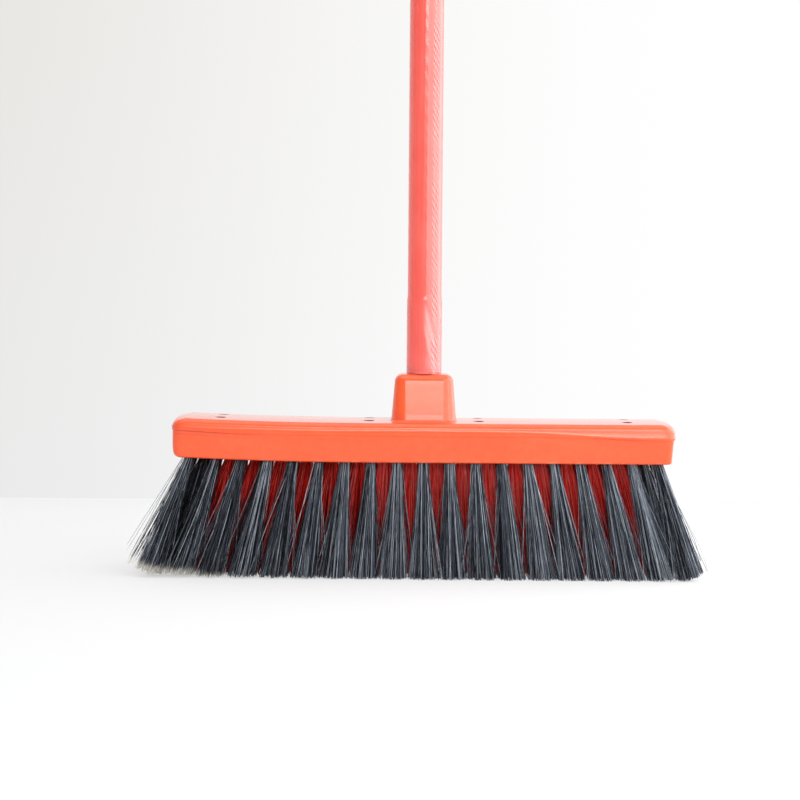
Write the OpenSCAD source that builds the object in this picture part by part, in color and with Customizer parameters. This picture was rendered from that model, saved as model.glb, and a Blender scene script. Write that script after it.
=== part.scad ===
// Household push broom: a moulded head with a screw socket, four rows of staple-set tufts
// that fan out to a flat sweeping edge, and a film-covered wooden stick with a screw tip.
// +Z is up and the floor is z = 0. X runs along the head and -Y is its front.

/* [Head] */
// Length of the head's upper slab
head_l = 320; // [240:1:400]
// Depth of the upper slab, front to back
head_d = 58; // [48:1:80]
// Height of the head at its long edges
head_h = 25; // [22:0.5:34]
// Height of the upper slab at its long edges
slab_h = 10; // [7:0.5:14]
// How much higher the middle of the top is than its edges
crown_h = 1; // [0.5:0.25:3]
// Step in from the upper slab to the lower slab
ledge_w = 1; // [0.5:0.25:2]
// Further step in of the lower slab towards its underside
draft_w = 1.2; // [0.4:0.2:2]
// Radius of the head's upright corners
corner_r = 6; // [4:0.5:10]
// Radius along the head's top edges
edge_r = 4; // [2:0.5:5]
// Diameter of the shallow pits in the top
pit_d = 7; // [4:0.5:9]
// Depth of the pits below the middle of the top
pit_depth = 3; // [2:0.25:5]
// Distance of the inner pits from the middle of the head
pit_inner_x = 35; // [31:1:45]
// Distance of the outer pits from the ends of the head
pit_outer_inset = 30; // [20:1:45]
// Distance between the two rows of pits
pit_rows = 24; // [16:1:32]

/* [Socket] */
// Solid plastic left between the tuft holes and the bottom of the socket's bore
socket_floor = 6; // [3:0.5:10]
// Width of the socket where it meets the head
socket_base_w = 42; // [38:1:52]
// Depth of the socket where it meets the head
socket_base_d = 36; // [32:1:44]
// Width of the socket at its rim
socket_top_w = 36.5; // [34:0.5:46]
// Depth of the socket at its rim
socket_top_d = 28.5; // [28.5:0.5:38]
// Radius of the socket's upright edges at its base
socket_base_r = 7.5; // [4:0.5:9]
// Radius of the socket's upright edges at its rim
socket_top_r = 7; // [5.5:0.5:9]
// Radius around the socket's rim
socket_rim_r = 4.5; // [2:0.5:5]

/* [Bristles] */
// Number of tufts in the front row
front_count = 19; // [15:2:23]
// Length of bristle showing below the head
bristle_h = 73; // [50:1:100]
// Distance from the head's end to the middle of the end tuft
end_margin = 10.6; // [9:0.2:16]
// Distance between rows at the head's underside
row_pitch = 13.5; // [11:0.25:16]
// Diameter of a tuft hole
hole_d = 6.4; // [5:0.1:7.5]
// Depth of a tuft hole
hole_depth = 14; // [10:0.5:16]
// Extra lean along the head from one tuft to the next, in degrees
lean_step = 1.75; // [0.5:0.05:2]
// Lean of the outer rows across the head, in degrees
row_lean = 8; // [2:0.5:12]

/* [Staples] */
// Thickness of the flat staple wire
staple_t = 0.45; // [0.3:0.05:0.8]
// Width of the flat staple wire
staple_w = 2; // [1.4:0.1:3]
// How far each end of a staple bites into the hole's wall
staple_bite = 0.3; // [0.1:0.05:0.6]
// Thickness of the bristle fold behind the staple
fold_t = 1; // [0.6:0.1:2]

/* [Stick] */
// Length of the stick from the end of its tip to the top of its cap
stick_l = 1200; // [900:10:1500]
// Diameter of the stick over its film
stick_d = 22; // [20:0.5:25]
// Wall of the plastic film
film_t = 0.4; // [0.2:0.05:0.8]
// Length of the doubled film at the lower end
cuff_l = 47; // [20:1:80]
// Thickness that the doubled film adds
cuff_t = 0.4; // [0.1:0.05:0.8]
// Height of the tip's collar, between socket rim and film
collar_h = 3; // [2:0.5:6]
// Depth that the tip reaches into the socket
tip_l = 33; // [26:1:40]
// Diameter of the tip over its thread
thread_d = 21; // [19:0.5:22]
// Height of the thread's ridge
ridge_h = 1.5; // [1:0.1:2]
// Rise of the right-hand thread in one turn
thread_lead = 5; // [4.5:0.25:7]
// Width of the ridge at its root
ridge_root_w = 2.6; // [2:0.1:2.8]
// Width of the ridge at its crest
ridge_crest_w = 1.4; // [0.8:0.1:1.6]
// Diameter of the stick's turned lower end, inside the tip
stub_d = 14; // [11:0.5:14.5]
// Thickness of the tip's closed end
tip_floor = 2.5; // [1.5:0.5:4]

/* [Cap] */
// Length of the stick's turned upper end, inside the cap
cap_sleeve_l = 30; // [20:1:50]
// Wall of the cap around the stick's upper end
cap_wall = 2.4; // [1.6:0.2:3.5]
// How far the cap lies inside the film's radius, so that a sleeve slides on over it
cap_step = 0.25; // [0.2:0.05:0.5]
// Height of the hanging tab above the stick's upper end
tab_h = 32; // [24:1:45]
// Thickness of the hanging tab
tab_t = 10; // [7:0.5:14]
// Diameter of the hanging hole
hang_d = 9; // [6:0.5:10]
// Distance from the top of the tab to the middle of the hanging hole
hang_inset = 11; // [10:0.5:14]

/* [Clearances] */
// Gap between a tuft and its hole
tuft_gap = 0.1; // [0.05:0.05:0.2]
// Gap between neighbouring tufts at the floor
tip_gap = 0.5; // [0.3:0.1:2]
// Radial running gap between the wooden stick and the pieces on it
stick_gap = 0.05; // [0.02:0.01:0.1]
// Gap along the stick between its shoulders and the pieces on it
shoulder_gap = 0.1; // [0.05:0.05:0.3]
// Gap between thread and socket, and between collar and rim
thread_gap = 0.4; // [0.3:0.05:0.6]
// Free depth below the tip in the socket
socket_spare = 3; // [2:0.5:5]

/* [Hidden] */
$fn = 96;
// Facets of the shapes that only round an edge
soft_fn = 32;
// Steps in one turn of the thread
thread_steps = 24;
// Reach past a face that a cut goes through
over = 2;
// Depth by which a joined shape is sunk into its neighbour
sink = 0.4;

// Levels
underside_z = bristle_h;
slab_z = underside_z + head_h - slab_h;
edge_z = underside_z + head_h;
crest_z = edge_z + crown_h;
tip_z = underside_z + hole_depth + socket_floor + socket_spare;
collar_z = tip_z + tip_l;
rim_z = collar_z - thread_gap;
film_z = collar_z + collar_h;
top_z = tip_z + stick_l;
tab_z = top_z - tab_h;
cap_z = tab_z - cap_sleeve_l;

// Radii
film_r = stick_d / 2;
core_r = film_r - film_t - stick_gap;
stub_r = stub_d / 2;
cap_r = film_r - cap_step;
cap_core_r = cap_r - cap_wall - stick_gap;
crest_r = thread_d / 2;
root_r = crest_r - ridge_h;
hole_r = hole_d / 2;
tuft_r = hole_r - tuft_gap;
crown_r = (pow(head_d / 2, 2) + pow(crown_h, 2)) / (2 * crown_h);
ridge_turns = (tip_l - ridge_root_w) / thread_lead - 0.5;

// Tuft rows: 0 is the front row; odd rows stand between the tufts of even rows
ROWS = [0, 1, 2, 3];
tuft_pitch = (head_l - 2 * end_margin) / (front_count - 1);
tip_pitch = tuft_pitch + bristle_h * tan(lean_step);
tip_r = (tip_pitch - tip_gap) / 2;
neck_l = hole_r * sin(lean_step * (front_count - 1) / 2 + row_lean);

function row_count(row) = front_count - row % 2;
// Place of a tuft along its row, counted in pitches from the middle of the head
function tuft_index(row, n) = n - (row_count(row) - 1) / 2;
function row_index(row) = row - (len(ROWS) - 1) / 2;
function tuft_x(row, n) = tuft_index(row, n) * tuft_pitch;
function row_y(row) = row_index(row) * row_pitch;
// Direction of a tuft, from its hole to the floor
function tuft_dir(row, n) = [
    tan(lean_step * tuft_index(row, n)),
    tan(row_lean * row_index(row) / row_index(3)),
    -1
];

// Each node's name with the tufts that it holds, as [name, row, first tuft, last tuft]
cluster = 4;
inner_first = [for (row = [1, 2]) [for (k = [0 : cluster - 1])
    1 + floor(k * (row_count(row) - 2) / cluster)]];
inner_last = [for (row = [1, 2]) [for (k = [1 : cluster])
    floor(k * (row_count(row) - 2) / cluster)]];
TUFT_NODES = concat(
    [for (n = [1 : row_count(0)]) [str("front_tuft_", n), 0, n - 1, n - 1]],
    [for (n = [1 : row_count(3)]) [str("rear_tuft_", n), 3, n - 1, n - 1]],
    [for (row = [1, 2]) for (k = [1 : cluster])
        [str("inner_tufts_", row, "_", k), row, inner_first[row - 1][k - 1], inner_last[row - 1][k - 1]]]
);

// ---------------------------------------------------------------- helpers

// Rectangle in plan with true round corners, from z = 0 up
module rounded_slab(l, d, h, r) {
    linear_extrude(h)
        union() {
            square([l - 2 * r, d], center = true);
            square([l, d - 2 * r], center = true);
            for (sx = [-1, 1], sy = [-1, 1])
                translate([sx * (l / 2 - r), sy * (d / 2 - r)])
                    circle(r);
        }
}

// Upright section with round upper corners, as wide as w and with its top at h
module round_topped(w, h, r) {
    union() {
        translate([-w / 2, 0])
            square([w, h - r]);
        translate([-w / 2 + r, 0])
            square([w - 2 * r, h]);
        for (s = [-1, 1])
            translate([s * (w / 2 - r), h - r])
                circle(r);
    }
}

// Prism along X from a section drawn in Y and Z
module along_x(l) {
    rotate([90, 0, 90])
        linear_extrude(l, center = true)
            children();
}

// Prism along Y from a section drawn in X and Z
module along_y(l) {
    rotate([90, 0, 0])
        linear_extrude(l, center = true)
            children();
}

// Moves its children to the mouth of a tuft's hole, with +Z towards the bristle tips
module at_tuft(row, n) {
    dir = tuft_dir(row, n);
    turn = atan2(dir.y, dir.x);
    tilt = 180 - atan(norm([dir.x, dir.y]));
    translate([tuft_x(row, n), row_y(row), underside_z])
        rotate([0, tilt, turn])
            rotate([0, 0, -turn])
                children();
}

// Corners of the thread's section at one step of the helix
function ridge_section(step, r_in, r_out, w_in, w_out) =
    let (
        angle = step * 360 / thread_steps,
        rise = step * thread_lead / thread_steps
    )
    [for (corner = [[r_in, -w_in], [r_out, -w_out], [r_out, w_out], [r_in, w_in]])
        [corner[0] * cos(angle), corner[0] * sin(angle), rise + corner[1] / 2]];

// Right-hand helical ridge between two steps; step 0 is on the +X side at z = 0
module helical_ridge(first, last, r_in, r_out, w_in, w_out) {
    count = last - first;
    polyhedron(
        points = [for (step = [first : last]) each ridge_section(step, r_in, r_out, w_in, w_out)],
        faces = concat(
            [[0, 2, 1], [0, 3, 2]],
            [for (i = [0 : count - 1], k = [0 : 3]) each [
                [4 * i + k, 4 * i + 4 + (k + 1) % 4, 4 * i + 4 + k],
                [4 * i + k, 4 * i + (k + 1) % 4, 4 * i + 4 + (k + 1) % 4]
            ]],
            [[4 * count, 4 * count + 1, 4 * count + 2], [4 * count, 4 * count + 2, 4 * count + 3]]
        )
    );
}

// ---------------------------------------------------------------- head

module upper_slab() {
    intersection() {
        translate([0, 0, slab_z])
            rounded_slab(head_l, head_d, slab_h + crown_h + over, corner_r);
        along_x(head_l + over)
            round_topped(head_d, crest_z, edge_r);
        along_y(head_d + over)
            round_topped(head_l, crest_z, edge_r);
        along_x(head_l + over)
            translate([0, crest_z - crown_r])
                circle(crown_r, $fn = 360);
    }
}

// Section of the lower slab, narrowing to the underside
module drafted(w) {
    polygon([
        [-w / 2 + draft_w, underside_z],
        [w / 2 - draft_w, underside_z],
        [w / 2, slab_z + sink],
        [-w / 2, slab_z + sink]
    ]);
}

module lower_slab() {
    l = head_l - 2 * ledge_w;
    d = head_d - 2 * ledge_w;
    intersection() {
        translate([0, 0, underside_z])
            rounded_slab(l, d, head_h - slab_h + sink, corner_r);
        along_x(l + over)
            drafted(d);
        along_y(d + over)
            drafted(l);
    }
}

// One corner of the socket's round rim, as a solid of revolution
module rim_corner() {
    rotate_extrude($fn = soft_fn)
        intersection() {
            translate([socket_top_r - socket_rim_r, 0])
                circle(socket_rim_r, $fn = soft_fn);
            translate([0, -socket_rim_r])
                square([socket_top_r, 2 * socket_rim_r]);
        }
}

// Tapered socket with round upright edges and a round rim
module socket_shell() {
    hull() {
        for (sx = [-1, 1], sy = [-1, 1]) {
            translate([
                sx * (socket_base_w / 2 - socket_base_r),
                sy * (socket_base_d / 2 - socket_base_r),
                edge_z - over
            ])
                cylinder(h = over, r = socket_base_r, $fn = soft_fn);
            translate([
                sx * (socket_top_w / 2 - socket_top_r),
                sy * (socket_top_d / 2 - socket_top_r),
                rim_z - socket_rim_r
            ])
                rim_corner();
        }
    }
}

// Bore with a thread groove that runs out through the rim
module threaded_bore() {
    lowest = -thread_steps / 4;
    highest = ceil((tip_l + thread_lead) * thread_steps / thread_lead);
    translate([0, 0, tip_z - socket_spare])
        cylinder(h = tip_l + socket_spare + over, r = root_r + thread_gap);
    translate([0, 0, tip_z + ridge_root_w / 2])
        helical_ridge(
            lowest,
            highest,
            root_r - sink,
            crest_r + thread_gap,
            ridge_root_w + 2 * thread_gap,
            ridge_crest_w + 2 * thread_gap
        );
}

module tuft_holes() {
    for (row = ROWS, n = [0 : row_count(row) - 1])
        at_tuft(row, n)
            translate([0, 0, -hole_depth])
                cylinder(h = hole_depth + over, r = hole_r);
}

module pits() {
    outer_x = head_l / 2 - pit_outer_inset;
    for (x = [-outer_x, -pit_inner_x, pit_inner_x, outer_x], side = [-1, 1])
        translate([x, side * pit_rows / 2, crest_z - pit_depth])
            cylinder(h = pit_depth + over, d = pit_d);
}

module head_block() {
    color("tomato")
        difference() {
            union() {
                lower_slab();
                upper_slab();
                socket_shell();
            }
            tuft_holes();
            pits();
            threaded_bore();
        }
}

// ---------------------------------------------------------------- bristles

// One tuft: a straight bundle in its hole that flares to the floor and is cut level with it
module tuft(row, n) {
    to_floor = bristle_h * norm(tuft_dir(row, n));
    spread = (tip_r - tuft_r) / (to_floor - neck_l);
    slot_w = staple_w + 2 * tuft_gap;
    difference() {
        at_tuft(row, n)
            difference() {
                union() {
                    translate([0, 0, tuft_gap - hole_depth])
                        cylinder(h = hole_depth + neck_l - tuft_gap, r = tuft_r);
                    translate([0, 0, neck_l])
                        cylinder(
                            h = to_floor - neck_l + tip_r,
                            r1 = tuft_r,
                            r2 = tip_r + tip_r * spread
                        );
                }
                translate([
                    -hole_d / 2 - over,
                    -staple_t / 2 - tuft_gap,
                    fold_t - hole_depth
                ])
                    cube([hole_d + 2 * over, staple_t + 2 * tuft_gap, slot_w]);
            }
        translate([-head_l, -head_l, -head_l])
            cube([2 * head_l, 2 * head_l, head_l]);
    }
}

module tufts(row, first, last) {
    for (n = [first : last])
        tuft(row, n);
}

// Dark tufts at one end of the two inner rows
module end_tufts(at_right) {
    color("dimgray")
        for (row = [1, 2])
            tuft(row, at_right ? row_count(row) - 1 : 0);
}

// Flat wire staples that hold one row's tufts in their holes
module staples(row) {
    color("lightsteelblue")
        for (n = [0 : row_count(row) - 1])
            at_tuft(row, n)
                translate([
                    -hole_r - staple_bite,
                    -staple_t / 2,
                    fold_t + tuft_gap - hole_depth
                ])
                    cube([hole_d + 2 * staple_bite, staple_t, staple_w]);
}

// ---------------------------------------------------------------- stick

// Round part of the stick between two levels
module turned(z_low, z_high, r) {
    translate([0, 0, z_low])
        cylinder(h = z_high - z_low, r = r);
}

module wooden_stick() {
    color("burlywood")
        union() {
            turned(tip_z + tip_floor + shoulder_gap, film_z + over, stub_r);
            turned(film_z + shoulder_gap, cap_z - shoulder_gap, core_r);
            turned(cap_z - over, tab_z - shoulder_gap, cap_core_r);
        }
}

module plastic_film() {
    color("red")
        difference() {
            union() {
                turned(film_z, cap_z, film_r);
                turned(film_z, film_z + cuff_l, film_r + cuff_t);
            }
            turned(film_z - over, cap_z + over, core_r + stick_gap);
        }
}

module screw_tip() {
    color("white")
        difference() {
            union() {
                turned(tip_z, film_z, root_r);
                turned(collar_z, film_z, film_r);
                translate([0, 0, tip_z + ridge_root_w / 2])
                    helical_ridge(
                        0,
                        floor(ridge_turns * thread_steps),
                        root_r - sink,
                        crest_r,
                        ridge_root_w,
                        ridge_crest_w
                    );
            }
            turned(tip_z + tip_floor, film_z + over, stub_r + stick_gap);
        }
}

module hanging_cap() {
    color("firebrick")
        difference() {
            intersection() {
                turned(cap_z, top_z, cap_r);
                union() {
                    turned(cap_z, tab_z + cap_wall, cap_r);
                    translate([-cap_r, -tab_t / 2, cap_z])
                        cube([2 * cap_r, tab_t, top_z - cap_z]);
                }
                along_y(2 * cap_r + over)
                    union() {
                        translate([-cap_r, cap_z])
                            square([2 * cap_r, top_z - cap_r - cap_z]);
                        translate([0, top_z - cap_r])
                            circle(cap_r);
                    }
            }
            turned(cap_z - over, tab_z, cap_core_r + stick_gap);
            translate([0, 0, top_z - hang_inset])
                rotate([90, 0, 0])
                    cylinder(h = tab_t + 2 * over, d = hang_d, center = true);
        }
}

head_block();
wooden_stick();
plastic_film();
screw_tip();
hanging_cap();
for (row = ROWS)
    staples(row);
end_tufts(false);  // left_end_tufts
end_tufts(true);  // right_end_tufts
for (entry = TUFT_NODES)
    color(entry[1] % 3 == 0 ? "dimgray" : "firebrick")
            tufts(entry[1], entry[2], entry[3]);
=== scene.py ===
"""A household push broom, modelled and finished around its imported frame.

The head is one moulding with a screw socket, 74 tufts of loose filaments fan out below it, and a
film-covered stick with a screw tip and a hanging cap stands in the socket. Everything is in metres,
with +Z up, the floor at z = 0, X along the head and -Y its front.
"""

from __future__ import annotations

import logging
import math
from dataclasses import dataclass
from enum import Enum
from typing import Any, Callable, Iterable, Sequence

import bmesh
import bpy
import numpy as np
from mathutils import Euler, Matrix, Vector


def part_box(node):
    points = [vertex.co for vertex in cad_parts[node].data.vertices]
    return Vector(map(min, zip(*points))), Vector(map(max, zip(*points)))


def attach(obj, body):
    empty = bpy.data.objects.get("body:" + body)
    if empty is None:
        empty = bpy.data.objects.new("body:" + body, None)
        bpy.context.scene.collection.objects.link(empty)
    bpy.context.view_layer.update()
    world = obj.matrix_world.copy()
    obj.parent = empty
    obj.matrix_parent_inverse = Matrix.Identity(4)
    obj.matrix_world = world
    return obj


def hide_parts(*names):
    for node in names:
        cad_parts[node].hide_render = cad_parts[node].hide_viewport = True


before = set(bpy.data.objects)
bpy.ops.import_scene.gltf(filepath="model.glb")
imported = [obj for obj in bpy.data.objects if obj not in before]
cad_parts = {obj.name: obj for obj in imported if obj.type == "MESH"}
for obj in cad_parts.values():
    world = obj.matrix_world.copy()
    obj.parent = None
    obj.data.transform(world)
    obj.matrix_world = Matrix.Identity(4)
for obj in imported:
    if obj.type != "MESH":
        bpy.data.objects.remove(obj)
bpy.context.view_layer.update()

MM = 0.001
SEED = 20
LOG = logging.getLogger("broom")

Array = np.ndarray
Triple = tuple[float, float, float]
Colour = Triple


# ---------------------------------------------------------------- meshes


def rng(*salt: int) -> np.random.Generator:
    """A random generator that gives the same draws on every run, for each salt."""
    return np.random.default_rng([SEED, *salt])


def smooth(edge_a: float, edge_b: float, x: Array) -> Array:
    """The cubic step 3t^2 - 2t^3, where t runs from 0 at edge_a to 1 at edge_b."""
    t = np.clip((x - edge_a) / (edge_b - edge_a), 0.0, 1.0)
    return t * t * (3.0 - 2.0 * t)


def grid_quads(rows: int, cols: int, loop_rows: bool = False, loop_cols: bool = True) -> Array:
    """Quads of a grid of rows x cols points, numbered row by row.

    Args:
        rows: Number of rows.
        cols: Number of points in a row.
        loop_rows: Whether the last row joins the first.
        loop_cols: Whether the last point of a row joins its first.

    Returns:
        An (n, 4) array of point numbers, turning left round (column axis x row axis).
    """
    i = np.arange(rows if loop_rows else rows - 1)[:, None]
    j = np.arange(cols if loop_cols else cols - 1)[None, :]
    i2, j2 = (i + 1) % rows, (j + 1) % cols
    quads = np.stack(np.broadcast_arrays(i * cols + j, i * cols + j2, i2 * cols + j2, i2 * cols + j), -1)
    return quads.reshape(-1, 4)


def fold_shut(ring: Array) -> Array:
    """Quads that close a flat ring of an even number of points by joining its two halves.

    Args:
        ring: The ring's point numbers in order.

    Returns:
        An (n, 4) array of point numbers, between opposite points of the halves.
    """
    half = len(ring) // 2
    left, right = ring[:half], ring[half:][::-1]
    return np.stack([left[:-1], left[1:], right[1:], right[:-1]], -1)


def raised(plan: Array, z: float | Array) -> Array:
    """Places in plan, all at one height or each at its own."""
    return np.column_stack([plan, np.broadcast_to(z, len(plan))])


def placed(name: str, data: bpy.types.ID) -> bpy.types.Object:
    """A new object in the scene, at the origin.

    Args:
        name: The object's name.
        data: Its mesh, lamp or camera.

    Returns:
        The object.
    """
    made = bpy.data.objects.new(name, data)
    bpy.context.scene.collection.objects.link(made)
    return made


class Patchwork:
    """Gathers patches of points and faces into one mesh object."""

    def __init__(self) -> None:
        """Starts with no points and no faces."""
        self.points: list[Array] = []
        self.uvs: list[Array] = []
        self.quads: list[Array] = []
        self.tris: list[Array] = []
        self.count = 0

    def add(self, points: Array, quads: Array | None = None, tris: Array | None = None,
            uv: Array | None = None) -> None:
        """Adds one patch.

        Args:
            points: Places of the points, in any shape that ends in 3.
            quads: Four-sided faces as numbers within this patch.
            tris: Three-sided faces as numbers within this patch.
            uv: A pair of surface coordinates for each point.
        """
        flat = points.reshape(-1, 3)
        self.points.append(flat)
        self.uvs.append(np.zeros((len(flat), 2)) if uv is None else uv.reshape(-1, 2))
        if quads is not None:
            self.quads.append(quads.reshape(-1, 4) + self.count)
        if tris is not None:
            self.tris.append(tris.reshape(-1, 3) + self.count)
        self.count += len(flat)

    def add_rings(self, rings: Sequence[Array], start: int = 0) -> None:
        """Adds rings as one closed skin; its first and last are folded shut from point start.

        Args:
            rings: Rings of equally many points, from one end to the other.
            start: The point of the first and last ring where its fold begins.
        """
        rows, cols = len(rings), len(rings[0])
        loop = (np.arange(cols) + start) % cols
        last = fold_shut((rows - 1) * cols + loop)
        self.add(np.array(rings), np.concatenate([grid_quads(rows, cols), last, fold_shut(loop)[:, ::-1]]))

    def build(self, name: str, material: bpy.types.Material, crease: float = 40.0) -> bpy.types.Object:
        """Makes the mesh object.

        Args:
            name: The object's name.
            material: The finish of all its faces.
            crease: Edges that turn by more than this many degrees stay sharp.

        Returns:
            The object, at the origin, with its place in its points.
        """
        points = np.concatenate(self.points)
        quads = np.concatenate(self.quads) if self.quads else np.zeros((0, 4), int)
        tris = np.concatenate(self.tris) if self.tris else np.zeros((0, 3), int)
        corners = np.concatenate([quads.ravel(), tris.ravel()]).astype(np.int32)
        starts = np.concatenate([4 * np.arange(len(quads)), 4 * len(quads) + 3 * np.arange(len(tris))])
        mesh = bpy.data.meshes.new(name)
        for group, key, values in ((mesh.vertices, "co", points.astype(np.float32)),
                                   (mesh.loops, "vertex_index", corners),
                                   (mesh.polygons, "loop_start", starts.astype(np.int32))):
            group.add(len(values))
            group.foreach_set(key, values.ravel())
        mesh.polygons.foreach_set("use_smooth", np.ones(len(starts), bool))
        layer = mesh.uv_layers.new(name="surface")
        layer.data.foreach_set("uv", np.concatenate(self.uvs)[corners].astype(np.float32).ravel())
        mesh.update(calc_edges=True)
        mesh.validate()
        mesh.set_sharp_from_angle(angle=math.radians(crease))
        mesh.materials.append(material)
        return placed(name, mesh)


def settle(piece: bpy.types.Object, body: str, nodes: Sequence[str] = ()) -> None:
    """Rides a piece on its body, hides the CAD nodes that it stands for, and reports it.

    Args:
        piece: The piece.
        body: The body that carries it.
        nodes: The CAD nodes that it stands for.
    """
    if nodes:
        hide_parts(*nodes)
    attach(piece, body)
    LOG.info("%s: %d faces on %s", piece.name, len(piece.data.polygons), body)


# ---------------------------------------------------------------- shaders


def math_method(operation: str, swapped: bool = False) -> Callable[..., "Wire"]:
    """An operator method of Wire.

    Args:
        operation: The Math node's operation.
        swapped: Whether the wire is the right-hand operand.

    Returns:
        The method, which adds the node and returns its output.
    """

    def apply(self: "Wire", *others: Any) -> "Wire":
        """Adds the Math node."""
        values = (*others, self) if swapped else (self, *others)
        return self.shader.node("Math", {"operation": operation}, dict(enumerate(values)))

    return apply


class Wire:
    """A socket's output. The usual operators on it add Math nodes; % is never negative."""

    def __init__(self, shader: "Shader", socket: bpy.types.NodeSocket) -> None:
        """Wraps one output socket of a shader's node."""
        self.shader = shader
        self.socket = socket

    __add__ = __radd__ = math_method("ADD")
    __sub__ = math_method("SUBTRACT")
    __rsub__ = math_method("SUBTRACT", swapped=True)
    __mul__ = __rmul__ = math_method("MULTIPLY")
    __truediv__ = math_method("DIVIDE")
    __pow__ = math_method("POWER")
    __mod__ = math_method("FLOORED_MODULO")
    __abs__ = math_method("ABSOLUTE")

    def step(self, low: float, high: float) -> "Wire":
        """A soft step from 0 at low to 1 at high."""
        ease = {"interpolation_type": "SMOOTHSTEP"}
        return self.shader.node("MapRange", ease, {"Value": self, "From Min": low, "From Max": high})

    def fade(self, low: float, high: float) -> "Wire":
        """A soft step from 1 at low to 0 at high."""
        return 1.0 - self.step(low, high)


class Shader:
    """Builds the nodes of one material, or of the world."""

    def __init__(self, name: str, world: bool = False) -> None:
        """Starts an empty material, or an empty world, with this name.

        Args:
            name: The name.
            world: Whether it is the world.
        """
        self.owner = (bpy.data.worlds if world else bpy.data.materials).new(name)
        self.output = "ShaderNodeOutputWorld" if world else "ShaderNodeOutputMaterial"
        self.owner.use_nodes = True
        self.tree = self.owner.node_tree
        self.tree.nodes.clear()

    def node(self, kind: str, settings: dict[str, Any] | None = None,
             inputs: dict[Any, Any] | None = None, output: int | str = 0) -> Wire:
        """Adds one node.

        Args:
            kind: The node's type without its ShaderNode prefix.
            settings: Properties, set before the sockets; "stops" are a ramp's (place, colour) pairs.
            inputs: Values or wires for its input sockets, by name or number.
            output: The output socket to return, by name or number.

        Returns:
            The chosen output.
        """
        made = self.tree.nodes.new("ShaderNode" + kind)
        for key, value in (settings or {}).items():
            if key == "stops":
                ramp = made.color_ramp.elements
                while len(ramp) < len(value):
                    ramp.new(1.0)
                for element, (place, colour) in zip(ramp, value):
                    element.position = place
                    element.color = (*colour, 1.0)
            else:
                setattr(made, key, value)
        for key, value in (inputs or {}).items():
            if isinstance(value, Wire):
                self.tree.links.new(value.socket, made.inputs[key])
            elif isinstance(value, tuple) and len(value) == 3 and made.inputs[key].type == "RGBA":
                made.inputs[key].default_value = (*value, 1.0)
            else:
                made.inputs[key].default_value = value
        return Wire(self, made.outputs[output])

    def place(self) -> Wire:
        """The point's place on its piece, in metres."""
        return self.node("TexCoord", output="Object")

    def split(self, vector: Wire, axes: str = "XYZ") -> tuple[Wire, ...]:
        """The parts of a vector along these axes."""
        return tuple(self.node("SeparateXYZ", inputs={0: vector}, output=axis) for axis in axes)

    def surface(self) -> tuple[Wire, ...]:
        """The piece's own two surface coordinates."""
        return self.split(self.node("UVMap", {"uv_map": "surface"}), "XY")

    def stretched(self, scale: Triple, turn: Triple = (0.0, 0.0, 0.0)) -> Wire:
        """Object coordinates turned and then scaled along each axis, for drawn-out patterns."""
        turned = self.node("Mapping", {"vector_type": "TEXTURE"}, {"Vector": self.place(), "Rotation": turn})
        return self.node("VectorMath", {"operation": "MULTIPLY"}, {0: turned, 1: scale})

    def joined(self, x: Any, y: Any, z: Any = 0.0) -> Wire:
        """A vector of three numbers."""
        return self.node("CombineXYZ", inputs={"X": x, "Y": y, "Z": z})

    def noise(self, vector: Wire, scale: float, detail: float = 2.0, roughness: float = 0.5) -> Wire:
        """Smooth noise around 0.5."""
        sockets = {"Vector": vector, "Scale": scale, "Detail": detail, "Roughness": roughness}
        return self.node("TexNoise", inputs=sockets, output="Fac")

    def mixed(self, factor: Any, first: Any, second: Any) -> Wire:
        """Blends two colours."""
        sockets = {"Factor": factor, 6: first, 7: second}
        return self.node("Mix", {"data_type": "RGBA"}, sockets, output=2)

    def layered(self, base: Wire, *layers: tuple[Wire, Colour]) -> Wire:
        """A colour under layers of other colours, each with its own factor.

        Args:
            base: The colour underneath.
            layers: Pairs of a factor and a colour, from the lowest up.

        Returns:
            The colour that shows.
        """
        for factor, colour in layers:
            base = self.mixed(factor, base, colour)
        return base

    def bump(self, height: Wire, depth: float, strength: float | Wire = 1.0,
             over: Wire | None = None) -> Wire:
        """A normal from a height between 0 and 1 that stands for depth metres, over a finer normal."""
        sockets = {"Height": height, "Distance": depth, "Strength": strength}
        return self.node("Bump", inputs=sockets if over is None else {**sockets, "Normal": over})

    def finish(self, surface: Wire) -> bpy.types.Material | bpy.types.World:
        """Joins a surface shader to the output.

        Args:
            surface: The shader's output.

        Returns:
            The finished material or world.
        """
        out = self.tree.nodes.new(self.output)
        self.tree.links.new(surface.socket, out.inputs["Surface"])
        return self.owner

    def principled(self, **sockets: Any) -> bpy.types.Material:
        """Finishes with a Principled shader; an underscore in a name stands for a space."""
        inputs = {key.replace("_", " "): value for key, value in sockets.items()}
        return self.finish(self.node("BsdfPrincipled", inputs=inputs))


@dataclass(frozen=True)
class Pits:
    """Round moulding pits in the head's top, at these places to each side, in two rows."""

    places: tuple[float, float] = (35.0 * MM, 130.0 * MM)
    row: float = 12.0 * MM
    r: float = 3.5 * MM
    depth: float = 2.4 * MM

    def centres(self) -> Array:
        """The middles of all the pits, as an (n, 2) array."""
        return np.array([[sx * x, sy * self.row] for x in self.places for sx in (-1, 1) for sy in (-1, 1)])


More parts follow.
